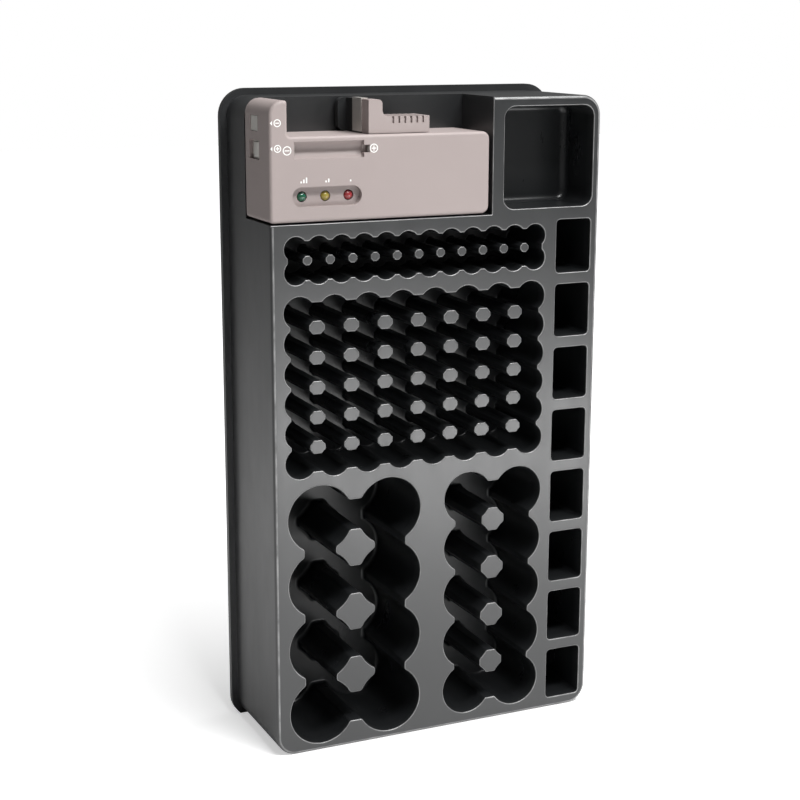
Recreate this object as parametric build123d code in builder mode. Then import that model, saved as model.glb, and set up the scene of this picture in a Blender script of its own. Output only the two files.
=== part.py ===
"""Battery storage tray with a lift-out cell tester, standing on its lower edge.

X runs to the right along the tray's width, Z runs up its height and the open face looks
along -Y. The origin is the middle of the lower edge. Places on the face are given as
(u, w): u from the face's left edge and w from its lower edge. Depths run back from the face.
"""
import os

from build123d import *

# ---- tray, millimetres
TRAY_DEPTH = 66.0
CORNER_RADIUS = 10.5
FACE_THICKNESS = 2.4
FACE_EDGE_RADIUS = 1.8
SIDE_WALL = 2.2
FLANGE_REACH = 3.5
FLANGE_THICKNESS = 3.4
WELL_WALL = 1.4
WELL_FLOOR = 2.0

# ---- tester bay, cut through the left wall and the top
BAY_HEIGHT = 59.6
BAY_WALL = 2.0
BAY_DEPTH = 35.7

# ---- square pockets
NINE_VOLT_COUNT = 8
NINE_VOLT_SIZE = (20.5, 28.1)
NINE_VOLT_CORNER = 2.2
NINE_VOLT_DEPTH = 42.0
COIN_WIDTH = 52.4
COIN_CORNER = 6.0
COIN_DEPTH = 28.0
COIN_FLOOR_CORNER = 4.0

# ---- plain face left between the openings, and between them and the face's edges
LARGE_MARGIN_LEFT = 7.3
LARGE_MARGIN_BELOW = 4.0
MIDDLE_MARGIN_LEFT = 14.2
MIDDLE_MARGIN_BELOW = 6.1
SMALL_MARGIN_LEFT = 6.3
SMALL_MARGIN_BELOW = 4.5
SMALLEST_MARGIN_LEFT = 6.9
SMALLEST_MARGIN_BELOW = 5.9
SHELF_MARGIN_BELOW = 6.0
NINE_VOLT_MARGIN_LEFT = 6.45
NINE_VOLT_MARGIN_RIGHT = 4.55
NINE_VOLT_MARGIN_BELOW = 5.75
NINE_VOLT_MARGIN_ABOVE = 4.37
COIN_MARGIN_LEFT = 6.6
COIN_MARGIN_RIGHT = 4.2
COIN_MARGIN_BELOW = 2.3
COIN_MARGIN_ABOVE = 5.1

# ---- small clearances, and how far a cut runs past what it cuts
TOUCH = 0.01
OVERCUT = 0.1
PAST = 1.0


class WellGroup:
    """A grid of round wells that open into each other between free-standing posts."""

    def __init__(self, name, radius, columns, rows, pitch_u, pitch_w, left, low, depth,
                 core_u, core_w, cusp_radius, post_u, post_w, post_radius, post_wall):
        self.name, self.radius, self.depth = name, radius, depth
        self.columns, self.rows = columns, rows
        self.pitch_u, self.pitch_w = pitch_u, pitch_w
        span_u, span_w = (columns - 1) * pitch_u, (rows - 1) * pitch_w
        self.right, self.top = left + span_u + 2 * radius, low + span_w + 2 * radius
        self.centre = ((left + self.right) / 2, (low + self.top) / 2)
        self.core_size = (span_u + 2 * core_u, span_w + 2 * core_w)
        self.cusp_radius = cusp_radius
        self.post_size = (2 * post_u, 2 * post_w)
        self.post_radius, self.post_wall = post_radius, post_wall


# left and low are the edges of a group's outer wells; core_u and core_w say how far past the
# outer rows of centres the cusps between wells are cut off
LARGE = WellGroup("d", radius=17.7, columns=2, rows=4, pitch_u=38.3, pitch_w=34.9,
                  left=LARGE_MARGIN_LEFT, low=LARGE_MARGIN_BELOW, depth=54.0,
                  core_u=9.0, core_w=8.4, cusp_radius=1.6,
                  post_u=10.9, post_w=9.9, post_radius=2.0, post_wall=1.6)
MIDDLE = WellGroup("c", radius=14.0, columns=2, rows=5, pitch_u=29.3, pitch_w=26.9,
                   left=LARGE.right + MIDDLE_MARGIN_LEFT, low=MIDDLE_MARGIN_BELOW, depth=46.0,
                   core_u=7.4, core_w=7.8, cusp_radius=1.3,
                   post_u=6.6, post_w=6.3, post_radius=1.2, post_wall=1.4)
SMALL = WellGroup("aa", radius=8.2, columns=8, rows=6, pitch_u=18.54, pitch_w=15.3,
                  left=SMALL_MARGIN_LEFT, low=max(LARGE.top, MIDDLE.top) + SMALL_MARGIN_BELOW,
                  depth=46.0, core_u=4.8, core_w=5.0, cusp_radius=0.8,
                  post_u=4.2, post_w=3.4, post_radius=0.7, post_wall=1.4)
SMALLEST = WellGroup("aaa", radius=6.1, columns=12, rows=2, pitch_u=12.1, pitch_w=11.6,
                     left=SMALLEST_MARGIN_LEFT, low=SMALL.top + SMALLEST_MARGIN_BELOW, depth=38.0,
                     core_u=4.2, core_w=3.8, cusp_radius=0.7,
                     post_u=2.4, post_w=2.3, post_radius=0.5, post_wall=None)
WELL_GROUPS = [SMALLEST, SMALL, MIDDLE, LARGE]

# ---- the face follows from what it holds
BAY_SHELF_HEIGHT = SMALLEST.top + SHELF_MARGIN_BELOW
FACE_HEIGHT = BAY_SHELF_HEIGHT + BAY_HEIGHT
NINE_VOLT_LEFT = max(group.right for group in WELL_GROUPS) + NINE_VOLT_MARGIN_LEFT
NINE_VOLT_U = NINE_VOLT_LEFT + NINE_VOLT_SIZE[0] / 2
FACE_WIDTH = NINE_VOLT_LEFT + NINE_VOLT_SIZE[0] + NINE_VOLT_MARGIN_RIGHT
NINE_VOLT_FIRST_W = NINE_VOLT_MARGIN_BELOW + NINE_VOLT_SIZE[1] / 2
NINE_VOLT_LAST_W = BAY_SHELF_HEIGHT - NINE_VOLT_MARGIN_ABOVE - NINE_VOLT_SIZE[1] / 2
NINE_VOLT_PITCH = (NINE_VOLT_LAST_W - NINE_VOLT_FIRST_W) / (NINE_VOLT_COUNT - 1)
COIN_RIGHT = FACE_WIDTH - COIN_MARGIN_RIGHT
BAY_WIDTH = COIN_RIGHT - COIN_WIDTH - COIN_MARGIN_LEFT
COIN_SIZE = (COIN_WIDTH, BAY_HEIGHT - COIN_MARGIN_BELOW - COIN_MARGIN_ABOVE)
COIN_PLACE = (COIN_RIGHT - COIN_WIDTH / 2, BAY_SHELF_HEIGHT + COIN_MARGIN_BELOW + COIN_SIZE[1] / 2)

# ---- tester housing
TESTER_GAP_RIGHT = 1.9
TESTER_GAP_BELOW = 0.9
TESTER_GAP_BEHIND = 0.3
TESTER_DECK_HEIGHT = 41.5
COLUMN_WIDTH = 9.4
COLUMN_RADIUS = 7.4
COLUMN_INNER_RADIUS = 1.2
DECK_INNER_RADIUS = 1.6
TESTER_CORNER = 4.0
TESTER_FOOT_CORNER = 2.0
PARTING_DEPTH = 20.0
SHELL_WALL = 1.8
SHELL_EDGE_RADIUS = 1.6

# ---- indicator recess, lamps and board
LAMP_PITCH = 12.3
LAMP_U = 29.8
LAMP_ABOVE_FOOT = 12.3
LAMP_DIAMETER = 5.0
LAMP_CLEARANCE = 0.15
LAMP_RIM = 0.5
LAMP_RIM_THICKNESS = 1.0
LAMP_STRAIGHT = 1.2
LEAD_WIDTH = 0.5
LEAD_PITCH = 2.54
RECESS_WIDTH = 36.6
RECESS_HEIGHT = 9.7
RECESS_DEPTH = 3.0
RECESS_FLOOR = 1.6
BOARD_U = 38.0
BOARD_ABOVE_FOOT = 14.9
BOARD_WIDTH = 52.0
BOARD_HEIGHT = 23.0
BOARD_DEPTH = 9.5
BOARD_THICKNESS = 1.6
RESISTOR_COUNT = 4
RESISTOR_SIZE = (6.0, 2.2)
RESISTOR_U = 26.0
RESISTOR_DROP = 7.0
RESISTOR_PITCH = 4.0
CHIP_U = 46.0
CHIP_SIZE = (9.0, 7.0, 3.0)

# ---- small-cell trough on the front
TROUGH_LEFT = 12.6
TROUGH_LENGTH = 36.8
TROUGH_BELOW_DECK = 6.7
TROUGH_RADIUS = 4.2
TROUGH_FLOOR = 1.4
TROUGH_TAIL_WIDTH = 2.0
TROUGH_TAIL_BACK = 9.0
TROUGH_CONTACT_FRONT = 0.9
TROUGH_PLATE_WIDTH = 5.0
TAIL_CLEARANCE = 0.1
NOTCH_LENGTH = 3.0
NOTCH_HEIGHT = 3.8
NOTCH_DEPTH = 3.2
NOTCH_PLATE_CLEARANCE = 0.4
TROUGH_PLATE_GAP = 0.1
NOTCH_PLATE_GAP = 0.2

# ---- contacts
SHEET = 0.5
SNAP_PITCH = 12.7
SNAP_TOP_BELOW = 11.6
SNAP_DEPTH = 21.6
SNAP_PAD = (10.0, 7.2)
SNAP_FRAME = (13.4, 9.0)
SNAP_CLEARANCE = 0.2
SNAP_PAD_INSET = 0.3
SNAP_LIP = 1.2
SNAP_BOW_RADIUS = 7.5
WALL_CLEARANCE = 0.05
CELL_CONTACT_DEPTH = 16.5
CELL_CONTACT_WIDTH = 11.0
CELL_CONTACT_ABOVE_DECK = 1.8
CELL_CONTACT_BELOW_TOP = 2.2
CELL_CONTACT_FOLD = 3.0
CELL_TAIL_WIDTH = 3.0
CELL_TAIL_HEIGHT = 4.0
CELL_TAIL_REACH = 1.5

# ---- slider, sprung towards the column
SLIDER_U = 52.9
SLIDER_TRAVEL = 25.0
SLIDER_FRONT = 2.5
SLIDER_GRIP_BACK = 11.0
SLIDER_BACK = 34.6
SLIDER_RIDE_GAP = 0.3
SLIDER_HEAD_WIDTH = 7.4
HEAD_RADIUS = 2.2
SLIDER_BELOW_TOP = 0.4
GRIP_LENGTH = 33.0
GRIP_HEIGHT = 8.2
GRIP_PAD_BACK = 21.0
SHOULDER_RADIUS = 3.2
RIB_COUNT = 6
RIB_FIRST = 13.2
RIB_PITCH = 3.27
RIB_GROOVE = (1.1, 3.4)
RIB_GROOVE_BACK = 1.2
WING_REACH = 4.8
WING_FRONT = 30.5
WING_RADIUS = 3.5
STEM_INSET = 1.0
STEM_WIDTH = 3.6
STEM_LENGTH = 12.0
STEM_DEPTH = 27.0
STEM_CLEARANCE = 0.3
FOOT_HEIGHT = 11.0
FOOT_THICKNESS = 8.0
ROD_DIAMETER = 3.0
ROD_CLEARANCE = 0.05
ROD_BELOW_DECK = 9.0
ROD_LEFT = 49.5
ROD_RIGHT_INSET = 11.9
ROD_RIB = 3.0
ROD_RIB_DROP = 4.0
SPRING_WIRE = 0.6
SPRING_DIAMETER = 5.2
SPRING_TURNS = 14
SPRING_END_GAP = 0.3

# ---- screws that hold the two housing shells together
SCREW_INSET = 6.8
MIDDLE_SCREW = (76.0, 11.9)
SCREW_SHANK = 2.6
SCREW_PILOT = 2.7
SCREW_PILOT_REACH = 0.5
SCREW_HOLE_CLEARANCE = 0.4
SCREW_COLUMN_EXTRA = 1.0
SCREW_HEAD = 5.0
SCREW_HEAD_THICKNESS = 1.8
SCREW_REACH = 14.0
BOSS_DIAMETER = 6.4
SCREW_SEAT_DEPTH = 26.0
BOARD_SCREW_SPREAD = (22.5, 8.0)
BOARD_SCREW_PILOT = 2.1
BOARD_SCREW_HOLE = 2.2
BOARD_SCREW_SHANK = 2.0
BOARD_SCREW_HEAD = 3.8
BOARD_SCREW_HEAD_THICKNESS = 1.2
BOARD_SCREW_REACH = 6.0
BOARD_POST = 4.6

FRONT_Y = -TRAY_DEPTH / 2
FLANGE_FRONT = TRAY_DEPTH - FLANGE_THICKNESS
TESTER_RIGHT = BAY_WIDTH - TESTER_GAP_RIGHT
TESTER_BOTTOM = BAY_SHELF_HEIGHT + TESTER_GAP_BELOW
TESTER_DECK = TESTER_BOTTOM + TESTER_DECK_HEIGHT
TESTER_BACK = BAY_DEPTH - TESTER_GAP_BEHIND
LAMP_W = TESTER_BOTTOM + LAMP_ABOVE_FOOT
BOARD_W = TESTER_BOTTOM + BOARD_ABOVE_FOOT
RESISTOR_W = BOARD_W - RESISTOR_DROP
TROUGH_W = TESTER_DECK - TROUGH_BELOW_DECK
SNAP_TOP_W = FACE_HEIGHT - SNAP_TOP_BELOW
CELL_CONTACT_LOW = TESTER_DECK + CELL_CONTACT_ABOVE_DECK
CELL_CONTACT_HIGH = FACE_HEIGHT - CELL_CONTACT_BELOW_TOP
SLIDER_TOP = FACE_HEIGHT - SLIDER_BELOW_TOP
ROD_W = TESTER_DECK - ROD_BELOW_DECK
ROD_RIGHT = TESTER_RIGHT - ROD_RIGHT_INSET
SCREW_PLACES = [(SCREW_INSET, TESTER_BOTTOM + SCREW_INSET),
                (TESTER_RIGHT - SCREW_INSET, TESTER_BOTTOM + SCREW_INSET),
                (MIDDLE_SCREW[0], TESTER_BOTTOM + MIDDLE_SCREW[1]),
                (TESTER_RIGHT - SCREW_INSET, TESTER_DECK - SCREW_INSET)]
BOARD_SCREW_PLACES = [(BOARD_U - BOARD_SCREW_SPREAD[0], BOARD_W + BOARD_SCREW_SPREAD[1]),
                      (BOARD_U + BOARD_SCREW_SPREAD[0], BOARD_W - BOARD_SCREW_SPREAD[1])]
SLIDER_BOTTOM = TESTER_DECK + SLIDER_RIDE_GAP
HEAD_RIGHT = SLIDER_U + SLIDER_HEAD_WIDTH
GRIP_TOP = SLIDER_BOTTOM + GRIP_HEIGHT
RECESS_FLOOR_BACK = RECESS_DEPTH + RECESS_FLOOR
TROUGH_RIGHT = TROUGH_LEFT + TROUGH_LENGTH
TROUGH_MINUS_LEFT = TROUGH_LEFT + TROUGH_PLATE_GAP
TROUGH_PLUS_LEFT = TROUGH_RIGHT + NOTCH_LENGTH - SHEET - NOTCH_PLATE_GAP
SNAP_LOW_W = SNAP_TOP_W - SNAP_PITCH
SNAP_WINDOWS = [(SNAP_TOP_W, SNAP_PAD), (SNAP_LOW_W, SNAP_FRAME)]
CELL_SLOT_FRONT = CELL_CONTACT_DEPTH - CELL_TAIL_WIDTH / 2
CELL_SLOT_W = (CELL_CONTACT_HIGH + CELL_CONTACT_LOW) / 2
INSIDE_WALL = SHELL_WALL + WALL_CLEARANCE
BOARD_BACK = BOARD_DEPTH + BOARD_THICKNESS
STEM_LEFT = SLIDER_U + STEM_INSET
FOOT_RIGHT = STEM_LEFT + STEM_LENGTH

os.makedirs("parts", exist_ok=True)


def at_depth(depth):
    """Plane parallel to the face at this depth, with u and w as its own coordinates."""
    return Plane(origin=(-FACE_WIDTH / 2, FRONT_Y + depth, 0), x_dir=(1, 0, 0), z_dir=(0, -1, 0))


def across(u):
    """Plane across the tray at this u, facing right, with (depth, w) as its coordinates."""
    return Plane(origin=(u - FACE_WIDTH / 2, FRONT_Y, 0), x_dir=(0, 1, 0), z_dir=(1, 0, 0))


def level(w):
    """Plane level with this w, facing up, with (u, depth) as its coordinates."""
    return Plane(origin=(-FACE_WIDTH / 2, FRONT_Y, w), x_dir=(1, 0, 0), z_dir=(0, 0, 1))


def finish(piece, name):
    """Label one finished piece and write it to its own file."""
    piece.part.label = name
    export_step(piece.part, f"parts/{name}.step")


def rectangle(left, right, low, high, mode=Mode.ADD):
    """Rectangle given by its four edges."""
    with Locations(((left + right) / 2, (low + high) / 2)):
        Rectangle(right - left, high - low, mode=mode)


def block(u_range, w_range, depth_range, mode=Mode.ADD):
    """Box given by its limits in u, w and depth."""
    with BuildSketch(at_depth(depth_range[1])) as section:
        rectangle(*u_range, *w_range)
    extrude(section.sketch, amount=depth_range[1] - depth_range[0], mode=mode)


def peg(places, diameter, front, back, mode=Mode.ADD):
    """Round pegs or holes at these (u, w) places, from one depth to another."""
    with BuildSketch(at_depth(back)) as section:
        with Locations(*places):
            Circle(diameter / 2)
    extrude(section.sketch, amount=back - front, mode=mode)


def around(middle, size, clearance=0.0):
    """Limits of a stretch of this size about its middle, widened by a clearance each way."""
    return (middle - size / 2 - clearance, middle + size / 2 + clearance)


def tray_outline(grow=0.0, mode=Mode.ADD):
    """Rounded outline of the tray, grown outwards by grow on every side."""
    with Locations((FACE_WIDTH / 2, FACE_HEIGHT / 2)):
        RectangleRounded(FACE_WIDTH + 2 * grow, FACE_HEIGHT + 2 * grow, CORNER_RADIUS + grow, mode=mode)


def cut_for_bay(back):
    """Take the tester's bay out of the part being built, from the face back to this depth."""
    block((-PAST, BAY_WIDTH), (BAY_SHELF_HEIGHT, FACE_HEIGHT + PAST), (-PAST, back), Mode.SUBTRACT)


def wells(group, depth, grow=0.0):
    """Sketch a group's joined wells: circles over a core rectangle that cuts their cusps off."""
    half_u, half_w = (side / 2 + grow for side in group.core_size)
    with BuildSketch(at_depth(depth)) as outline:
        with Locations(group.centre):
            with GridLocations(group.pitch_u, group.pitch_w, group.columns, group.rows):
                Circle(group.radius + grow)
            Rectangle(2 * half_u, 2 * half_w)
        if grow == 0.0:
            cusps = [corner for corner in outline.vertices()
                     if abs(abs(corner.X - group.centre[0]) - half_u) < TOUCH
                     or abs(abs(corner.Y - group.centre[1]) - half_w) < TOUCH]
            fillet(cusps, radius=group.cusp_radius)
    return outline.sketch


def posts(group, depth, inset=0.0):
    """Sketch a group's posts: rectangles hollowed by the four wells round each of them."""
    with BuildSketch(at_depth(depth)) as outline:
        with Locations(group.centre):
            with GridLocations(group.pitch_u, group.pitch_w, group.columns - 1, group.rows - 1):
                Rectangle(*(side - 2 * inset for side in group.post_size))
            with GridLocations(group.pitch_u, group.pitch_w, group.columns, group.rows):
                Circle(group.radius + inset, mode=Mode.SUBTRACT)
        if inset == 0.0:
            fillet(outline.vertices(), radius=group.post_radius)
    return outline.sketch


def square_pocket(size, corner, grow=0.0):
    """One pocket opening with rounded corners, grown outwards by grow."""
    RectangleRounded(size[0] + 2 * grow, size[1] + 2 * grow, corner + grow)


def nine_volt_places():
    """Centres of the tall pockets down the right-hand side, as (u, w)."""
    return [(NINE_VOLT_U, NINE_VOLT_FIRST_W + row * NINE_VOLT_PITCH) for row in range(NINE_VOLT_COUNT)]


# ---- tray: face plate with every opening
with BuildPart() as tray_face:
    with BuildSketch(at_depth(FACE_THICKNESS)):
        tray_outline()
    extrude(amount=FACE_THICKNESS)
    fillet(tray_face.faces().sort_by(Axis.Y)[0].edges(), radius=FACE_EDGE_RADIUS)
    cut_for_bay(FACE_THICKNESS + PAST)
    for group in WELL_GROUPS:
        extrude(wells(group, FACE_THICKNESS), amount=FACE_THICKNESS, mode=Mode.SUBTRACT)
    with BuildSketch(at_depth(FACE_THICKNESS)):
        with Locations(*nine_volt_places()):
            square_pocket(NINE_VOLT_SIZE, NINE_VOLT_CORNER)
        with Locations(COIN_PLACE):
            square_pocket(COIN_SIZE, COIN_CORNER)
    extrude(amount=FACE_THICKNESS, mode=Mode.SUBTRACT)
finish(tray_face, "tray_face")

# ---- tray: outer wall behind the face, cut away where the tester lies
with BuildPart() as tray_walls:
    with BuildSketch(at_depth(FLANGE_FRONT)):
        tray_outline()
        tray_outline(-SIDE_WALL, Mode.SUBTRACT)
    extrude(amount=FLANGE_FRONT - FACE_THICKNESS)
    cut_for_bay(BAY_DEPTH)
finish(tray_walls, "tray_walls")

# ---- tray: stiffening flange round the open back, flush with the lower edge it stands on
with BuildPart() as tray_flange:
    with BuildSketch(at_depth(TRAY_DEPTH)):
        tray_outline(FLANGE_REACH)
        tray_outline(-SIDE_WALL, Mode.SUBTRACT)
        rectangle(-2 * FLANGE_REACH, FACE_WIDTH + 2 * FLANGE_REACH, -2 * FLANGE_REACH, 0, Mode.SUBTRACT)
    extrude(amount=FLANGE_THICKNESS)
finish(tray_flange, "tray_flange")

# ---- tray: shelf, right wall and back wall of the tester's bay
with BuildPart() as tester_bay:
    block((SIDE_WALL, BAY_WIDTH + BAY_WALL), (BAY_SHELF_HEIGHT - BAY_WALL, BAY_SHELF_HEIGHT),
          (FACE_THICKNESS, BAY_DEPTH + BAY_WALL))
    block((BAY_WIDTH, BAY_WIDTH + BAY_WALL), (BAY_SHELF_HEIGHT, FACE_HEIGHT - SIDE_WALL),
          (FACE_THICKNESS, BAY_DEPTH + BAY_WALL))
    with BuildSketch(at_depth(BAY_DEPTH + BAY_WALL)):
        tray_outline(-SIDE_WALL)
        rectangle(SIDE_WALL, BAY_WIDTH, BAY_SHELF_HEIGHT, FACE_HEIGHT, Mode.INTERSECT)
    extrude(amount=BAY_WALL)
finish(tester_bay, "tester_bay")

# ---- tray: walls, floor and posts of each group of round wells
for group in WELL_GROUPS:
    with BuildPart() as well_walls:
        extrude(wells(group, group.depth, WELL_WALL), amount=group.depth - FACE_THICKNESS)
        extrude(wells(group, group.depth), amount=group.depth - FACE_THICKNESS, mode=Mode.SUBTRACT)
    finish(well_walls, f"{group.name}_well_walls")

    floor_back = group.depth + WELL_FLOOR
    with BuildPart() as well_floor:
        extrude(wells(group, floor_back, WELL_WALL), amount=WELL_FLOOR)
        if group.post_wall:
            extrude(posts(group, floor_back, group.post_wall), amount=WELL_FLOOR, mode=Mode.SUBTRACT)
    finish(well_floor, f"{group.name}_well_floor")

    with BuildPart() as well_posts:
        extrude(posts(group, group.depth), amount=group.depth)
        if group.post_wall:
            hollow = posts(group, group.depth, group.post_wall)
            extrude(hollow, amount=group.depth - FACE_THICKNESS, mode=Mode.SUBTRACT)
    finish(well_posts, f"{group.name}_posts")

# ---- tray: the tall pockets down the right-hand side
with BuildPart() as nine_volt_wells:
    for place in nine_volt_places():
        with BuildSketch(at_depth(NINE_VOLT_DEPTH + WELL_FLOOR)):
            with Locations(place):
                square_pocket(NINE_VOLT_SIZE, NINE_VOLT_CORNER, WELL_WALL)
        extrude(amount=NINE_VOLT_DEPTH + WELL_FLOOR - FACE_THICKNESS)
        with BuildSketch(at_depth(NINE_VOLT_DEPTH)):
            with Locations(place):
                square_pocket(NINE_VOLT_SIZE, NINE_VOLT_CORNER)
        extrude(amount=NINE_VOLT_DEPTH - FACE_THICKNESS, mode=Mode.SUBTRACT)
finish(nine_volt_wells, "nine_volt_wells")

# ---- tray: the shallow open pocket for small flat cells
with BuildPart() as coin_well:
    with BuildSketch(at_depth(COIN_DEPTH + WELL_FLOOR)):
        with Locations(COIN_PLACE):
            square_pocket(COIN_SIZE, COIN_CORNER, WELL_WALL)
    extrude(amount=COIN_DEPTH + WELL_FLOOR - FACE_THICKNESS)
    with BuildSketch(at_depth(COIN_DEPTH)):
        with Locations(COIN_PLACE):
            square_pocket(COIN_SIZE, COIN_CORNER)
    extrude(amount=COIN_DEPTH - FACE_THICKNESS, mode=Mode.SUBTRACT)
    floor_face = coin_well.faces().filter_by_position(Axis.Y, FRONT_Y + COIN_DEPTH - TOUCH,
                                                      FRONT_Y + COIN_DEPTH + TOUCH)[0]
    fillet(floor_face.edges(), radius=COIN_FLOOR_CORNER)
finish(coin_well, "coin_well")


def tester_outline(depth, inset=0.0):
    """Sketch the housing's L shape, a long body with a column at its left end, set in by inset."""
    low, right = TESTER_BOTTOM + inset, TESTER_RIGHT - inset
    deck, top = TESTER_DECK - inset, FACE_HEIGHT - inset
    corners = [((inset, low), TESTER_FOOT_CORNER - inset), ((right, low), TESTER_CORNER - inset),
               ((right, deck), TESTER_CORNER - inset), ((COLUMN_WIDTH - inset, deck), DECK_INNER_RADIUS),
               ((COLUMN_WIDTH - inset, top), COLUMN_INNER_RADIUS - inset),
               ((inset, top), COLUMN_RADIUS - inset)]
    with BuildSketch(at_depth(depth)) as outline:
        with BuildLine():
            FilletPolyline(*(place for place, _ in corners), close=True,
                           radius=[max(radius, 0.0) for _, radius in corners])
        make_face()
    return outline.sketch


def snap_window(w, size, depth_range):
    """Cut one window for a snap contact through the housing's left wall."""
    block((-PAST, SHELL_WALL + TOUCH), around(w, size[1], SNAP_CLEARANCE), depth_range, Mode.SUBTRACT)


# ---- tester: front half of the housing
with BuildPart() as front_shell:
    extrude(tester_outline(PARTING_DEPTH), amount=PARTING_DEPTH)
    fillet(front_shell.faces().sort_by(Axis.Y)[0].edges(), radius=SHELL_EDGE_RADIUS)
    extrude(tester_outline(PARTING_DEPTH, SHELL_WALL), amount=PARTING_DEPTH - SHELL_WALL,
            mode=Mode.SUBTRACT)
    block(around(LAMP_U, RECESS_WIDTH, RECESS_FLOOR), around(LAMP_W, RECESS_HEIGHT, RECESS_FLOOR),
          (SHELL_WALL, RECESS_FLOOR_BACK))
    block((TROUGH_LEFT - TROUGH_FLOOR, TROUGH_RIGHT + NOTCH_LENGTH + TROUGH_FLOOR),
          around(TROUGH_W, 2 * TROUGH_RADIUS, TROUGH_FLOOR), (SHELL_WALL, TROUGH_RADIUS + TROUGH_FLOOR))
    peg(SCREW_PLACES, BOSS_DIAMETER, SHELL_WALL, PARTING_DEPTH)
    peg(BOARD_SCREW_PLACES, BOARD_POST, SHELL_WALL, BOARD_DEPTH)
    peg(SCREW_PLACES, SCREW_PILOT, SCREW_SEAT_DEPTH - SCREW_REACH - SCREW_PILOT_REACH, PARTING_DEPTH,
        Mode.SUBTRACT)
    peg(BOARD_SCREW_PLACES, BOARD_SCREW_PILOT, BOARD_BACK - BOARD_SCREW_REACH - SCREW_PILOT_REACH,
        BOARD_DEPTH, Mode.SUBTRACT)
    with BuildSketch(at_depth(RECESS_DEPTH)):
        with Locations((LAMP_U, LAMP_W)):
            SlotOverall(RECESS_WIDTH, RECESS_HEIGHT)
    extrude(amount=RECESS_DEPTH, mode=Mode.SUBTRACT)
    peg([(LAMP_U + step * LAMP_PITCH, LAMP_W) for step in (-1, 0, 1)],
        LAMP_DIAMETER + 2 * LAMP_CLEARANCE, RECESS_DEPTH, RECESS_FLOOR_BACK, Mode.SUBTRACT)
    with BuildSketch(across(TROUGH_LEFT)):
        with Locations((0, TROUGH_W)):
            Circle(TROUGH_RADIUS)
    extrude(amount=TROUGH_LENGTH, mode=Mode.SUBTRACT)
    block((TROUGH_RIGHT, TROUGH_RIGHT + NOTCH_LENGTH), around(TROUGH_W, NOTCH_HEIGHT),
          (-PAST, NOTCH_DEPTH), Mode.SUBTRACT)
    for left in (TROUGH_MINUS_LEFT, TROUGH_PLUS_LEFT):
        block((left - TAIL_CLEARANCE, left + SHEET + TAIL_CLEARANCE),
              around(TROUGH_W, TROUGH_TAIL_WIDTH, TAIL_CLEARANCE),
              (NOTCH_DEPTH - PAST, PARTING_DEPTH), Mode.SUBTRACT)
    for w, size in SNAP_WINDOWS:
        snap_window(w, size, (SNAP_DEPTH - size[0] / 2 - SNAP_CLEARANCE, PARTING_DEPTH))
    block((COLUMN_WIDTH - SHELL_WALL - OVERCUT, COLUMN_WIDTH + OVERCUT),
          around(CELL_SLOT_W, CELL_TAIL_HEIGHT, TAIL_CLEARANCE),
          (CELL_SLOT_FRONT - TAIL_CLEARANCE, PARTING_DEPTH), Mode.SUBTRACT)
finish(front_shell, "front_shell")

# ---- tester: rear half of the housing, with the slider's slot, rod ribs and screw columns
with BuildPart() as rear_shell:
    extrude(tester_outline(TESTER_BACK), amount=TESTER_BACK - PARTING_DEPTH)
    fillet(rear_shell.faces().sort_by(Axis.Y)[-1].edges(), radius=SHELL_EDGE_RADIUS)
    extrude(tester_outline(TESTER_BACK - SHELL_WALL, SHELL_WALL),
            amount=TESTER_BACK - SHELL_WALL - PARTING_DEPTH, mode=Mode.SUBTRACT)
    for left in (ROD_LEFT, ROD_RIGHT - ROD_RIB):
        block((left, left + ROD_RIB), (ROD_W - ROD_RIB_DROP, TESTER_DECK - SHELL_WALL),
              (STEM_DEPTH - ROD_RIB_DROP, TESTER_BACK - SHELL_WALL))
    with BuildSketch(across(ROD_LEFT)):
        with Locations((STEM_DEPTH, ROD_W)):
            Circle(ROD_DIAMETER / 2 + ROD_CLEARANCE)
    extrude(amount=ROD_RIGHT - ROD_LEFT, mode=Mode.SUBTRACT)
    peg(SCREW_PLACES, BOSS_DIAMETER + SCREW_COLUMN_EXTRA, PARTING_DEPTH, TESTER_BACK - SHELL_WALL)
    peg(SCREW_PLACES, SCREW_SHANK + SCREW_HOLE_CLEARANCE, PARTING_DEPTH, TESTER_BACK, Mode.SUBTRACT)
    peg(SCREW_PLACES, SCREW_HEAD + SCREW_HOLE_CLEARANCE, SCREW_SEAT_DEPTH, TESTER_BACK, Mode.SUBTRACT)
    block((STEM_LEFT - STEM_CLEARANCE, FOOT_RIGHT + SLIDER_TRAVEL + STEM_CLEARANCE),
          (TESTER_DECK - SHELL_WALL - OVERCUT, TESTER_DECK + OVERCUT),
          around(STEM_DEPTH, STEM_WIDTH, STEM_CLEARANCE), Mode.SUBTRACT)
    for w, size in SNAP_WINDOWS:
        snap_window(w, size, (PARTING_DEPTH, SNAP_DEPTH + size[0] / 2 + SNAP_CLEARANCE))
finish(rear_shell, "rear_shell")

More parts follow.
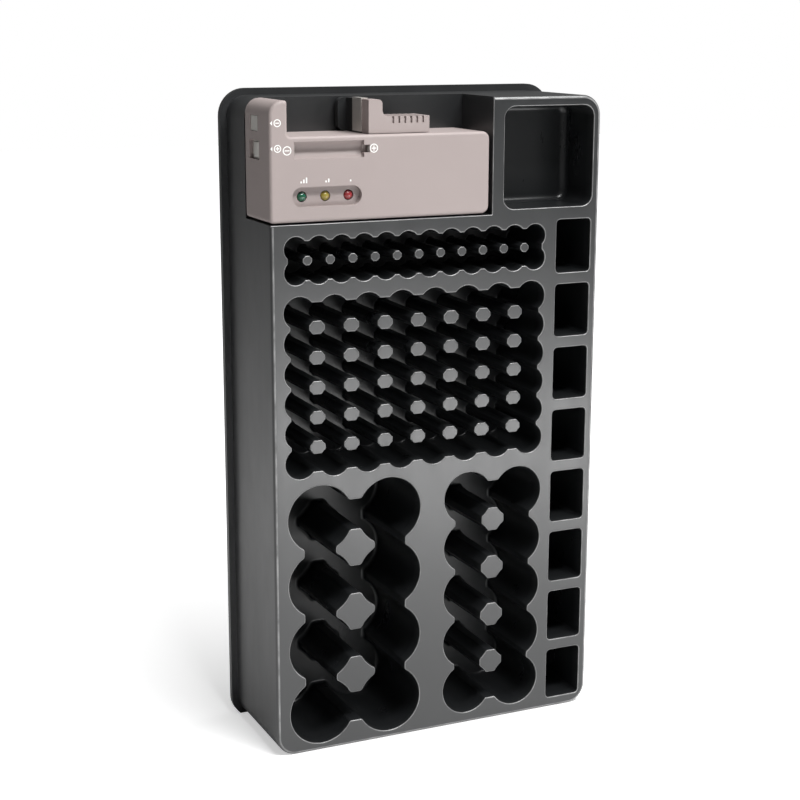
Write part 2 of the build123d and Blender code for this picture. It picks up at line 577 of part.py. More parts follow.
# ---- tester: three lamps in a row, each with its rim and two leads down to the board
for step, colour in ((-1, "green"), (0, "yellow"), (1, "red")):
    place = (LAMP_U + step * LAMP_PITCH, LAMP_W)
    rim_back = RECESS_FLOOR_BACK + LAMP_RIM_THICKNESS
    dome_base = RECESS_DEPTH - LAMP_STRAIGHT + LAMP_DIAMETER / 2
    with BuildPart() as lamp:
        peg([place], LAMP_DIAMETER + 2 * LAMP_RIM, RECESS_FLOOR_BACK, rim_back)
        peg([place], LAMP_DIAMETER, dome_base, RECESS_FLOOR_BACK)
        with BuildSketch(Plane(origin=(place[0] - FACE_WIDTH / 2, FRONT_Y + dome_base, place[1]),
                               x_dir=(1, 0, 0), z_dir=(0, 0, 1))):
            Circle(LAMP_DIAMETER / 2)
            rectangle(0, LAMP_DIAMETER, -LAMP_DIAMETER, 0, Mode.INTERSECT)
        revolve(axis=Axis((place[0] - FACE_WIDTH / 2, FRONT_Y, place[1]), (0, 1, 0)))
        for side in (-LEAD_PITCH / 2, LEAD_PITCH / 2):
            block(around(place[0] + side, LEAD_WIDTH), around(place[1], LEAD_WIDTH),
                  (rim_back, BOARD_DEPTH))
    finish(lamp, f"lamp_{colour}")

# ---- tester: circuit board, the parts on it and the screws that hold it
with BuildPart() as circuit_board:
    block(around(BOARD_U, BOARD_WIDTH), around(BOARD_W, BOARD_HEIGHT), (BOARD_DEPTH, BOARD_BACK))
    peg(BOARD_SCREW_PLACES, BOARD_SCREW_HOLE, BOARD_DEPTH, BOARD_BACK, Mode.SUBTRACT)
finish(circuit_board, "circuit_board")

with BuildPart() as board_components:
    for step in range(RESISTOR_COUNT):
        block(around(RESISTOR_U, RESISTOR_SIZE[0]),
              around(RESISTOR_W + step * RESISTOR_PITCH, RESISTOR_SIZE[1]),
              (BOARD_BACK, BOARD_BACK + RESISTOR_SIZE[1]))
    block(around(CHIP_U, CHIP_SIZE[0]), around(BOARD_W, CHIP_SIZE[1]),
          (BOARD_BACK, BOARD_BACK + CHIP_SIZE[2]))
finish(board_components, "board_components")

with BuildPart() as board_screws:
    peg(BOARD_SCREW_PLACES, BOARD_SCREW_HEAD, BOARD_BACK, BOARD_BACK + BOARD_SCREW_HEAD_THICKNESS)
    peg(BOARD_SCREW_PLACES, BOARD_SCREW_SHANK, BOARD_BACK - BOARD_SCREW_REACH, BOARD_BACK)
finish(board_screws, "board_screws")

# ---- tester: screws through the rear shell into the front shell's bosses
with BuildPart() as case_screws:
    peg(SCREW_PLACES, SCREW_HEAD, SCREW_SEAT_DEPTH, SCREW_SEAT_DEPTH + SCREW_HEAD_THICKNESS)
    peg(SCREW_PLACES, SCREW_SHANK, SCREW_SEAT_DEPTH - SCREW_REACH, SCREW_SEAT_DEPTH)
finish(case_screws, "case_screws")

# ---- tester: pressed contacts in the left wall for a snap-terminal battery
with BuildPart() as snap_contact_flat:
    block((SNAP_PAD_INSET, INSIDE_WALL), around(SNAP_TOP_W, SNAP_PAD[1]), around(SNAP_DEPTH, SNAP_PAD[0]))
    block((INSIDE_WALL, INSIDE_WALL + SHEET), around(SNAP_TOP_W, SNAP_PAD[1], SNAP_LIP),
          around(SNAP_DEPTH, SNAP_PAD[0], SNAP_LIP))
finish(snap_contact_flat, "snap_contact_flat")

with BuildPart() as snap_contact_clip:
    block((INSIDE_WALL, INSIDE_WALL + SHEET), around(SNAP_LOW_W, SNAP_FRAME[1], SNAP_LIP),
          around(SNAP_DEPTH, SNAP_FRAME[0], SNAP_LIP))
    with BuildSketch(level(SNAP_LOW_W - SNAP_PAD[1] / 2)):
        with Locations((SNAP_PAD_INSET + SNAP_BOW_RADIUS, SNAP_DEPTH)):
            Circle(SNAP_BOW_RADIUS)
            Circle(SNAP_BOW_RADIUS - SHEET, mode=Mode.SUBTRACT)
        rectangle(0, INSIDE_WALL, 0, PARTING_DEPTH * 2, Mode.INTERSECT)
    extrude(amount=SNAP_PAD[1])
finish(snap_contact_clip, "snap_contact_clip")

# ---- tester: contacts at the ends of the small-cell trough
for name, left, width in (("trough_contact_minus", TROUGH_MINUS_LEFT, TROUGH_PLATE_WIDTH),
                          ("trough_contact_plus", TROUGH_PLUS_LEFT,
                           NOTCH_HEIGHT - 2 * NOTCH_PLATE_CLEARANCE)):
    with BuildPart() as trough_contact:
        block((left, left + SHEET), around(TROUGH_W, width), (TROUGH_CONTACT_FRONT, NOTCH_DEPTH))
        block((left, left + SHEET), around(TROUGH_W, TROUGH_TAIL_WIDTH), (NOTCH_DEPTH, TROUGH_TAIL_BACK))
    finish(trough_contact, name)

# ---- tester: fixed cell contact on the column, with a tail through its wall
with BuildPart() as column_contact:
    block((COLUMN_WIDTH, COLUMN_WIDTH + SHEET), (CELL_CONTACT_LOW, CELL_CONTACT_HIGH),
          around(CELL_CONTACT_DEPTH, CELL_CONTACT_WIDTH))
    block((COLUMN_WIDTH - SHELL_WALL - CELL_TAIL_REACH, COLUMN_WIDTH),
          around(CELL_SLOT_W, CELL_TAIL_HEIGHT), (CELL_SLOT_FRONT, CELL_SLOT_FRONT + CELL_TAIL_WIDTH))
finish(column_contact, "column_contact")

# ---- tester: rod under the deck and the spring that pushes the slider back to the left
with BuildPart() as guide_rod:
    with BuildSketch(across(ROD_LEFT)):
        with Locations((STEM_DEPTH, ROD_W)):
            Circle(ROD_DIAMETER / 2)
    extrude(amount=ROD_RIGHT - ROD_LEFT)
finish(guide_rod, "guide_rod")

spring_length = ROD_RIGHT - ROD_RIB - FOOT_RIGHT - SPRING_WIRE - 2 * SPRING_END_GAP
spring_radius = (SPRING_DIAMETER - SPRING_WIRE) / 2
spring_start = FOOT_RIGHT + SPRING_END_GAP + SPRING_WIRE / 2
with BuildPart() as return_spring:
    with BuildLine() as coil:
        Helix(pitch=spring_length / SPRING_TURNS, height=spring_length, radius=spring_radius,
              center=(spring_start - FACE_WIDTH / 2, FRONT_Y + STEM_DEPTH, ROD_W), direction=(1, 0, 0))
    with BuildSketch(Plane(origin=coil.line @ 0, z_dir=coil.line % 0)):
        Circle(SPRING_WIRE / 2)
    sweep(path=coil.line)
finish(return_spring, "return_spring")

# ---- slider: ribbed thumb grip in front
with BuildPart() as slider_grip:
    with BuildSketch(at_depth(SLIDER_GRIP_BACK)) as side_view:
        rectangle(SLIDER_U, HEAD_RIGHT, SLIDER_BOTTOM, SLIDER_TOP)
        rectangle(HEAD_RIGHT, SLIDER_U + GRIP_LENGTH, SLIDER_BOTTOM, GRIP_TOP)
        fillet(side_view.vertices().group_by(Axis.Y)[-1].sort_by(Axis.X)[-1], radius=HEAD_RADIUS)
        shoulder = [v for v in side_view.vertices()
                    if abs(v.X - HEAD_RIGHT) < TOUCH and abs(v.Y - GRIP_TOP) < TOUCH]
        fillet(shoulder, radius=SHOULDER_RADIUS)
    extrude(amount=SLIDER_GRIP_BACK - SLIDER_FRONT)
    block((HEAD_RIGHT, SLIDER_U + GRIP_LENGTH), (SLIDER_BOTTOM, GRIP_TOP),
          (SLIDER_GRIP_BACK, GRIP_PAD_BACK))
    for rib in range(RIB_COUNT):
        groove_u = SLIDER_U + RIB_FIRST + rib * RIB_PITCH
        block(around(groove_u, RIB_GROOVE[0]), (GRIP_TOP - RIB_GROOVE[1], GRIP_TOP + PAST),
              (SLIDER_FRONT - PAST, SLIDER_FRONT + RIB_GROOVE_BACK), Mode.SUBTRACT)
        block(around(groove_u, RIB_GROOVE[0]), (GRIP_TOP - RIB_GROOVE[0], GRIP_TOP + PAST),
              (SLIDER_FRONT, GRIP_PAD_BACK + PAST), Mode.SUBTRACT)
finish(slider_grip, "slider_grip")

# ---- slider: carriage behind the grip, with a side wing, a stem through the deck and a bored foot
with BuildPart() as slider_carriage:
    block((SLIDER_U, HEAD_RIGHT), (SLIDER_BOTTOM, SLIDER_TOP), (SLIDER_GRIP_BACK, SLIDER_BACK))
    with BuildSketch(at_depth(SLIDER_BACK)) as wing:
        rectangle(SLIDER_U - WING_REACH, SLIDER_U, SLIDER_BOTTOM, SLIDER_TOP)
        fillet(wing.vertices().group_by(Axis.X)[0], radius=WING_RADIUS)
    extrude(amount=SLIDER_BACK - WING_FRONT)
    block((STEM_LEFT, FOOT_RIGHT), (ROD_W, SLIDER_BOTTOM + PAST), around(STEM_DEPTH, STEM_WIDTH))
    block((STEM_LEFT, FOOT_RIGHT), around(ROD_W, FOOT_HEIGHT), around(STEM_DEPTH, FOOT_THICKNESS))
    with BuildSketch(across(STEM_LEFT)):
        with Locations((STEM_DEPTH, ROD_W)):
            Circle(ROD_DIAMETER / 2 + ROD_CLEARANCE)
    extrude(amount=STEM_LENGTH, mode=Mode.SUBTRACT)
finish(slider_carriage, "slider_carriage")

# ---- slider: contact plate folded over the carriage's top
with BuildPart() as slider_contact:
    block((SLIDER_U - SHEET, SLIDER_U), (SLIDER_BOTTOM + SHEET, SLIDER_TOP + SHEET),
          around(CELL_CONTACT_DEPTH, CELL_CONTACT_WIDTH))
    block((SLIDER_U, SLIDER_U + CELL_CONTACT_FOLD), (SLIDER_TOP, SLIDER_TOP + SHEET),
          around(CELL_CONTACT_DEPTH, CELL_CONTACT_WIDTH))
finish(slider_contact, "slider_contact")
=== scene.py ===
"""Looks of a battery storage tray with a lift-out cell tester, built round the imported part.

The tray stands on its lower edge and its open face looks along -Y. Places on the face are
(u, w): u from its left edge and w from its lower edge, with depth running back from it. Every
moulded surface is a profile carried along an outline, and an outline is a chain of arcs.
"""
import math

import bpy
import numpy as np
from mathutils import Matrix, Vector
from mathutils.geometry import delaunay_2d_cdt


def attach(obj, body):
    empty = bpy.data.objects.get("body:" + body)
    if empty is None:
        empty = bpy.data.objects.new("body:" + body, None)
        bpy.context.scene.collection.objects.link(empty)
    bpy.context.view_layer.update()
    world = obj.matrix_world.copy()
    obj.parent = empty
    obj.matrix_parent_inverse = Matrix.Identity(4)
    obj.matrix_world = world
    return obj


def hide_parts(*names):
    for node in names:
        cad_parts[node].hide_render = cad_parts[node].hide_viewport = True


bl_info = {
    "name": "Battery Storage Tray",
    "version": (1, 0, 0),
    "blender": (4, 5, 0),
    "location": "3D View > Sidebar > Battery Tray",
    "description": "Builds a moulded battery tray with its cell tester",
    "category": "Add Mesh",
}

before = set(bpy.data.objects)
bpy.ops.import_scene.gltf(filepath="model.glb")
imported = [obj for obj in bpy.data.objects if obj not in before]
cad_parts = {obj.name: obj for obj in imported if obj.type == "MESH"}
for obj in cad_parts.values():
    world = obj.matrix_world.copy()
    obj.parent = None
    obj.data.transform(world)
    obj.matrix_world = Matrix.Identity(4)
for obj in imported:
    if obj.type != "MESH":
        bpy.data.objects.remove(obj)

MM = 0.001
HALF_TURN = math.pi
QUARTER_TURN = math.pi / 2


def length(name, default, description):
    """A distance in metres."""
    return bpy.props.FloatProperty(name=name, description=description, default=default,
                                   subtype="DISTANCE", unit="LENGTH", precision=5)


def amount(name, default, description):
    """A plain number."""
    return bpy.props.FloatProperty(name=name, description=description, default=default)


def tint(name, default, description):
    """A colour, linear."""
    return bpy.props.FloatVectorProperty(name=name, description=description, default=default,
                                         subtype="COLOR", size=3, min=0.0, max=1.0)


class BT_WellGroup(bpy.types.PropertyGroup):
    """A grid of round wells that open into each other between posts."""
    radius: length("Radius", 0.0082, "Radius of one well")
    columns: bpy.props.IntProperty(name="Columns", description="Wells side by side", default=8)
    rows: bpy.props.IntProperty(name="Rows", description="Wells above each other", default=6)
    pitch_u: length("Pitch across", 0.01854, "Distance between columns")
    pitch_w: length("Pitch up", 0.0153, "Distance between rows")
    first_u: length("First column", 0.0145, "Middle of the left column")
    first_w: length("First row", 0.1568, "Middle of the lowest row")
    depth: length("Depth", 0.046, "Depth of the floor")
    core_u: length("Core across", 0.0048, "Reach of the open middle past the outer columns")
    core_w: length("Core up", 0.005, "Reach of the open middle past the outer rows")
    cusp: length("Cusp radius", 0.0008, "Rounding of the cusps between wells")
    post_u: length("Post half width", 0.0042, "Half the width of a post")
    post_w: length("Post half height", 0.0034, "Half the height of a post")
    post_corner: length("Post corner", 0.0007, "Rounding of a post's corners")
    post_wall: length("Post wall", 0.0014, "Wall of a hollow post, or zero for a solid one")
    fillet: length("Floor fillet", 0.001, "Rounding where the floor meets a wall")


class BT_Tray(bpy.types.PropertyGroup):
    """The moulded tray."""
    width: length("Width", 0.184, "Width of the face")
    height: length("Height", 0.3368, "Height of the face")
    depth: length("Depth", 0.066, "Depth of the whole tray")
    corner: length("Corner radius", 0.0105, "Rounding of the face's corners")
    thickness: length("Face thickness", 0.0024, "Thickness of the face plate")
    edge: length("Face edge radius", 0.0018, "Rounding of the face's outer edge")
    bay_edge: length("Bay edge radius", 0.0005, "Rounding of the edges along the bay")
    bay_corner: length("Bay corner radius", 0.0006, "Rounding of the bay's corners")
    bay_width: length("Bay width", 0.1208, "Width of the tester's bay")
    bay_shelf: length("Bay shelf", 0.2772, "Height of the shelf under the tester")
    lip: length("Lip radius", 0.0006, "Rounding of every opening's edge")
    post_lip: length("Post lip radius", 0.00045, "Rounding of every post's top")
    draft: amount("Draft", 0.006, "Slope of the moulded walls")
    wall: length("Well wall", 0.0014, "Wall round a well")
    floor: length("Well floor", 0.002, "Thickness of a well's floor")


class BT_Pockets(bpy.types.PropertyGroup):
    """Square pockets: a column of tall ones and a big shallow one."""
    count: bpy.props.IntProperty(name="Tall pockets", description="Pockets in the column", default=8)
    width: length("Width", 0.0205, "Width of a tall pocket")
    height: length("Height", 0.0281, "Height of a tall pocket")
    pitch: length("Pitch", 0.03414, "Distance between tall pockets")
    middle_u: length("Column middle", 0.1692, "Middle of the column")
    first_w: length("First pocket", 0.0198, "Middle of the lowest pocket")
    corner: length("Corner radius", 0.0022, "Rounding of a tall pocket's corners")
    depth: length("Depth", 0.042, "Depth of a tall pocket")
    fillet: length("Floor fillet", 0.001, "Rounding at a tall pocket's floor")
    big_u: length("Big pocket across", 0.1536, "Middle of the big pocket")
    big_w: length("Big pocket up", 0.3056, "Middle of the big pocket")
    big_width: length("Big pocket width", 0.0524, "Width of the big pocket")
    big_height: length("Big pocket height", 0.0522, "Height of the big pocket")
    big_corner: length("Big pocket corner", 0.006, "Rounding of its corners")
    big_depth: length("Big pocket depth", 0.028, "Depth of the big pocket")
    big_fillet: length("Big pocket fillet", 0.004, "Rounding at its floor")


class BT_Marks(bpy.types.PropertyGroup):
    """Printed signs on the tester's front."""
    trough_minus_u: length("Trough minus across", 0.009, "Middle of the sign left of the trough")
    trough_plus_u: length("Trough plus across", 0.0546, "Middle of the sign right of the trough")
    trough_w: length("Trough signs up", 0.313, "Height of the signs beside the trough")
    trough_ring: length("Trough ring", 0.0022, "Outer radius of a ring beside the trough")
    column_u: length("Column signs across", 0.00415, "Middle of the signs on the column")
    column_minus_w: length("Column minus up", 0.32625, "Height of the upper sign")
    column_plus_w: length("Column plus up", 0.3141, "Height of the lower sign")
    column_ring: length("Column ring", 0.00185, "Outer radius of a ring on the column")
    line: length("Line width", 0.00045, "Width of the printed lines")
    arrow_gap: length("Arrow gap", 0.0008, "Space between a column ring and its arrow")
    arrow: length("Arrow", 0.0011, "Length of an arrow, and half its height")
    bars_w: length("Bars up", 0.2972, "Foot of the level bars above the lamps")
    bar_width: length("Bar width", 0.0007, "Width of one level bar")
    bar_pitch: length("Bar pitch", 0.0014, "Distance between level bars")
    bar_height: length("Bar height", 0.0009, "Height of the shortest level bar")
    lamp_u: length("Middle lamp", 0.0298, "Middle of the lamp in the middle")
    lamp_pitch: length("Lamp pitch", 0.0123, "Distance between lamps")
    proud: length("Print thickness", 0.00001, "How far the print stands proud")


class BT_Colours(bpy.types.PropertyGroup):
    """Colours of the finished surfaces."""
    black: tint("Black plastic", (0.012, 0.013, 0.014), "Tray")
    taupe: tint("Taupe plastic", (0.335, 0.285, 0.275), "Tester housing")
    dark: tint("Dark plastic", (0.016, 0.017, 0.018), "Slider carriage")
    metal: tint("Contact metal", (0.78, 0.76, 0.72), "Contacts")
    dull: tint("Dull contact", (0.36, 0.33, 0.31), "Contacts in the trough")
    steel: tint("Steel", (0.55, 0.55, 0.56), "Screws, rod and spring")
    green: tint("Green lens", (0.015, 0.11, 0.06), "Lamp")
    yellow: tint("Yellow lens", (0.30, 0.24, 0.045), "Lamp")
    red: tint("Red lens", (0.27, 0.03, 0.035), "Lamp")
    board: tint("Board", (0.02, 0.12, 0.05), "Circuit board")
    component: tint("Component", (0.03, 0.03, 0.035), "Parts on the board")
    print: tint("Print", (0.85, 0.85, 0.83), "Printed signs")


class BT_Stage(bpy.types.PropertyGroup):
    """Camera, lamps and floor."""
    turn: bpy.props.FloatProperty(name="Turn", description="Camera's turn to the left",
                                  default=math.radians(24.65), subtype="ANGLE", unit="ROTATION")
    rise: bpy.props.FloatProperty(name="Rise", description="Camera's height angle",
                                  default=math.radians(12.94), subtype="ANGLE", unit="ROTATION")
    roll: bpy.props.FloatProperty(name="Roll", description="Camera's roll",
                                  default=math.radians(0.16), subtype="ANGLE", unit="ROTATION")
    distance: length("Distance", 0.8898, "Camera's distance from its target")
    target_x: length("Target across", -0.0078, "Point that the camera looks at")
    target_z: length("Target up", 0.1763, "Point that the camera looks at")
    lens: amount("Lens", 74.9, "Focal length in millimetres on a 36 mm film")
    floor_tone: amount("Floor tone", 0.92, "Paleness of the floor")
    floor_size: length("Floor size", 8.0, "Side of the floor")
    glow_near: amount("Near glow", 0.5, "How much paler the camera sees the floor by the tray")
    near: length("Glow from", 0.3, "Distance at which the floor starts to pale")
    far: length("Glow to", 1.1, "Distance at which the floor is white")
    key: amount("Key", 0.7, "Power of the main lamp")
    fill: amount("Top", 36.0, "Power of the lamp overhead")
    ambient: amount("Ambient", 0.08, "Light from all around")
    gloss: amount("Gloss", 0.15, "Brightness of what shiny surfaces mirror")
    edge: amount("Edge", 12.0, "Power of the strip above the front")


class BT_Settings(bpy.types.PropertyGroup):
    """Everything that the operators read."""
    tray: bpy.props.PointerProperty(type=BT_Tray, name="Tray")
    aaa: bpy.props.PointerProperty(type=BT_WellGroup, name="Smallest wells")
    aa: bpy.props.PointerProperty(type=BT_WellGroup, name="Small wells")
    c: bpy.props.PointerProperty(type=BT_WellGroup, name="Middle wells")
    d: bpy.props.PointerProperty(type=BT_WellGroup, name="Large wells")
    pockets: bpy.props.PointerProperty(type=BT_Pockets, name="Square pockets")
    marks: bpy.props.PointerProperty(type=BT_Marks, name="Printed signs")
    colours: bpy.props.PointerProperty(type=BT_Colours, name="Colours")
    stage: bpy.props.PointerProperty(type=BT_Stage, name="Stage")


WELL_NAMES = ("aaa", "aa", "c", "d")
WELL_SIZES = {
    "aaa": dict(radius=0.0061, columns=12, rows=2, pitch_u=0.0121, pitch_w=0.0116, first_u=0.013,
                first_w=0.2535, depth=0.038, core_u=0.0042, core_w=0.0038, cusp=0.0007,
                post_u=0.0024, post_w=0.0023, post_corner=0.0005, post_wall=0.0, fillet=0.0008),
    "c": dict(radius=0.014, columns=2, rows=5, pitch_u=0.0293, pitch_w=0.0269, first_u=0.1092,
              first_w=0.0201, depth=0.046, core_u=0.0074, core_w=0.0078, cusp=0.0013,
              post_u=0.0066, post_w=0.0063, post_corner=0.0012, post_wall=0.0014, fillet=0.0015),
    "d": dict(radius=0.0177, columns=2, rows=4, pitch_u=0.0383, pitch_w=0.0349, first_u=0.025,
              first_w=0.0217, depth=0.054, core_u=0.009, core_w=0.0084, cusp=0.0016,
              post_u=0.0109, post_w=0.0099, post_corner=0.002, post_wall=0.0016, fillet=0.002),
}

ARC_STEP = math.radians(5.0)
CORNER_STEP = math.radians(22.5)
ROUND_STEPS = 5
GROWN_CUSP = 0.0003
HOLLOW_CORNER = 0.00025
DEEP_FROM_TO = (-0.0318, -0.0255)
# depths where the painted highlight on the lips fades in and fades out
LIP_STARTS = (-0.03299, -0.03294)
LIP_ENDS = (-0.0325, -0.0328)
SHARP_ANGLE = math.radians(35.0)
FINE_STEP = math.radians(9.0)
RING_STEP = math.radians(12.0)
RING_END = 1.9 * HALF_TURN
WALL_BACK_EDGE = 0.0004
NEAR = 0.0005
TINY = 1e-9

# ---- lamps: place, width and height, and the point that each one looks at
LAMPS = {
    "key": ((0.22, -0.5, 0.04), (0.4, 0.07), (0.0, 0.0, 0.1)),
    "edge": ((0.15, -0.62, 1.15), (0.7, 0.16), (0.0, 0.0, 0.17)),
    "fill": ((0.6, -0.5, 2.0), (1.6, 1.2), (0.0, 0.0, 0.1)),
}


# ---- outlines: chains of arcs, each (centre, radius, first and last angle of the normal, side)
def chain(arcs, step=ARC_STEP):
    """Points and outward normals along a closed chain of arcs. A normal at angle a is
    (cos a, sin a), and its point is the arc's centre plus side times radius times the normal.
    """
    places, normals = [], []
    for (centre, radius, first, last, side) in arcs:
        count = max(2, int(math.ceil(abs(last - first) / step)) + 1)
        if radius < TINY or abs(last - first) < TINY:
            count = 1
        angle = np.linspace(first, last, count)
        normal = np.stack([np.cos(angle), np.sin(angle)], -1)
        places.append(np.asarray(centre) + side * radius * normal)
        normals.append(normal)
    return np.concatenate(places), np.concatenate(normals)


def heading(angle):
    """Unit vector at this angle."""
    return np.array([math.cos(angle), math.sin(angle)])


def rounded(corners, radii, step=CORNER_STEP):
    """Polygon, counter-clockwise, with every corner rounded to its own radius."""
    corners = [np.asarray(c, float) for c in corners]
    arcs = []
    for k, corner in enumerate(corners):
        before, after = corner - corners[k - 1], corners[(k + 1) % len(corners)] - corner
        first = math.atan2(before[1], before[0]) - QUARTER_TURN
        turn = _near(math.atan2(after[1], after[0]) - QUARTER_TURN, first) - first
        side = 1 if turn > 0 else -1
        back = radii[k] * math.tan(abs(turn) / 2)
        start = corner - before / np.linalg.norm(before) * back
        arcs.append((start - side * radii[k] * heading(first), radii[k], first, first + turn, side))
    return chain(arcs, step)


def rectangle(middle, size, corner, grow=0.0, step=CORNER_STEP):
    """Rounded rectangle about its middle, grown outwards."""
    half_u, half_w = size[0] / 2 + grow, size[1] / 2 + grow
    corners = [(middle[0] + a * half_u, middle[1] + b * half_w)
               for a, b in ((-1, -1), (1, -1), (1, 1), (-1, 1))]
    return rounded(corners, [corner + grow] * 4, step)


def well_outline(group, grow=0.0):
    """Outline of a group's joined wells: an arc round each outer well, and between two
    neighbours a cusp of two small arcs that meet the core's straight side.
    """
    radius, cusp = group.radius + grow, GROWN_CUSP if grow else group.cusp
    columns, rows = group.columns, group.rows
    pitch = (group.pitch_u, group.pitch_w)
    first = np.array([group.first_u, group.first_w])
    last = first + np.array([(columns - 1) * pitch[0], (rows - 1) * pitch[1]])
    starts = (first, (last[0], first[1]), last, (first[0], last[1]))

    def lean(side):
        """How far along its side a cusp's arc lies from the well, and its angle there."""
        reach = (group.core_w if side % 2 == 0 else group.core_u) + grow + cusp
        along = math.sqrt((radius + cusp) ** 2 - reach ** 2)
        return along, reach, math.atan2(along, reach)

    arcs = []
    for side in range(4):
        out = (side - 1) * QUARTER_TURN
        normal, tangent = heading(out), heading(out + QUARTER_TURN)
        along, reach, angle = lean(side)
        gaps = (columns if side % 2 == 0 else rows) - 1
        for gap in range(gaps):
            here = np.asarray(starts[side]) + gap * pitch[side % 2] * tangent
            there = here + pitch[side % 2] * tangent
            arcs.append((here + reach * normal + along * tangent, cusp, out + angle, out, -1))
            arcs.append((there + reach * normal - along * tangent, cusp, out, out - angle, -1))
            end = out + angle if gap < gaps - 1 else out + QUARTER_TURN + lean((side + 1) % 4)[2]
            arcs.append((there, radius, out - angle, end, 1))
    return chain(arcs)


def post_outline(group, column, row, inset=0.0, step=ARC_STEP):
    """Outline of the post between four wells: four arms, hollowed by the wells round it."""
    middle = np.array([group.first_u + (column + 0.5) * group.pitch_u,
                       group.first_w + (row + 0.5) * group.pitch_w])
    radius, corner = group.radius + inset, HOLLOW_CORNER if inset else group.post_corner
    half = (group.post_u - inset, group.post_w - inset)
    spread = (group.pitch_u / 2, group.pitch_w / 2)

    def arm(number):
        """Middles of the two rounded corners at the end of one arm."""
        out = number * QUARTER_TURN
        axis = number % 2
        rise = spread[1 - axis] - math.sqrt((radius + corner) ** 2
                                            - (spread[axis] - half[axis] + corner) ** 2)
        tip = (half[axis] - corner) * heading(out)
        return tip - rise * heading(out + QUARTER_TURN), tip + rise * heading(out + QUARTER_TURN)

    arcs = []
    for number in range(4):
        out = number * QUARTER_TURN
        low, high = arm(number)
        well = np.array([spread[0] if number in (0, 3) else -spread[0],
                         spread[1] if number in (0, 1) else -spread[1]])
        following = arm((number + 1) % 4)[0]
        turn_in = _near(math.atan2(*(well - high)[::-1]), out)
        turn_out = _near(math.atan2(*(well - following)[::-1]), out)
        arcs.append((middle + low, corner, out - (turn_in - out), out, 1))
        arcs.append((middle + high, corner, out, turn_in, 1))
        arcs.append((middle + well, radius, turn_in, turn_out, -1))
    return chain(arcs, step)


def _near(angle, reference):
    """The same angle, at most half a turn from a reference."""
    return (angle - reference + HALF_TURN) % (2 * HALF_TURN) - HALF_TURN + reference


# ---- profiles: rows of (offset along the outline's normal, depth)
def quarter(centre, radius, first, last, steps=ROUND_STEPS):
    """Quarter round in a profile, as points about its centre from one angle to another."""
    angle = np.linspace(first, last, steps + 1)
    return np.stack([centre[0] + radius * np.cos(angle), centre[1] + radius * np.sin(angle)], -1)


def opening_profile(lip, draft, back):
    """A rounded lip at the face and a drafted wall down to a depth."""
    return np.concatenate([quarter((lip, lip), lip, -QUARTER_TURN, -HALF_TURN),
                           [(-draft * (back - lip), back)]])


def pit_profile(lip, draft, front, back, fillet):
    """A drafted wall from one depth to a rounded floor."""
    start, end = -draft * (front - lip), -draft * (back - fillet - lip)
    return np.concatenate([[(start, front)],
                           quarter((end - fillet, back - fillet), fillet, 0.0, QUARTER_TURN)])


def post_profile(lip, draft, back, fillet):
    """A rounded top, a drafted shaft and a rounded foot that spreads into the floor."""
    end = draft * (back - fillet - lip)
    return np.concatenate([quarter((-lip, lip), lip, -QUARTER_TURN, 0.0),
                           quarter((end + fillet, back - fillet), fillet, HALF_TURN, QUARTER_TURN)])


def shell_profile(front, back, edge):
    """The outside of a wall, from the face plate to a rounded back edge."""
    return np.concatenate([[(0.0, front)], quarter((-edge, back - edge), edge, 0.0, QUARTER_TURN, 3)])


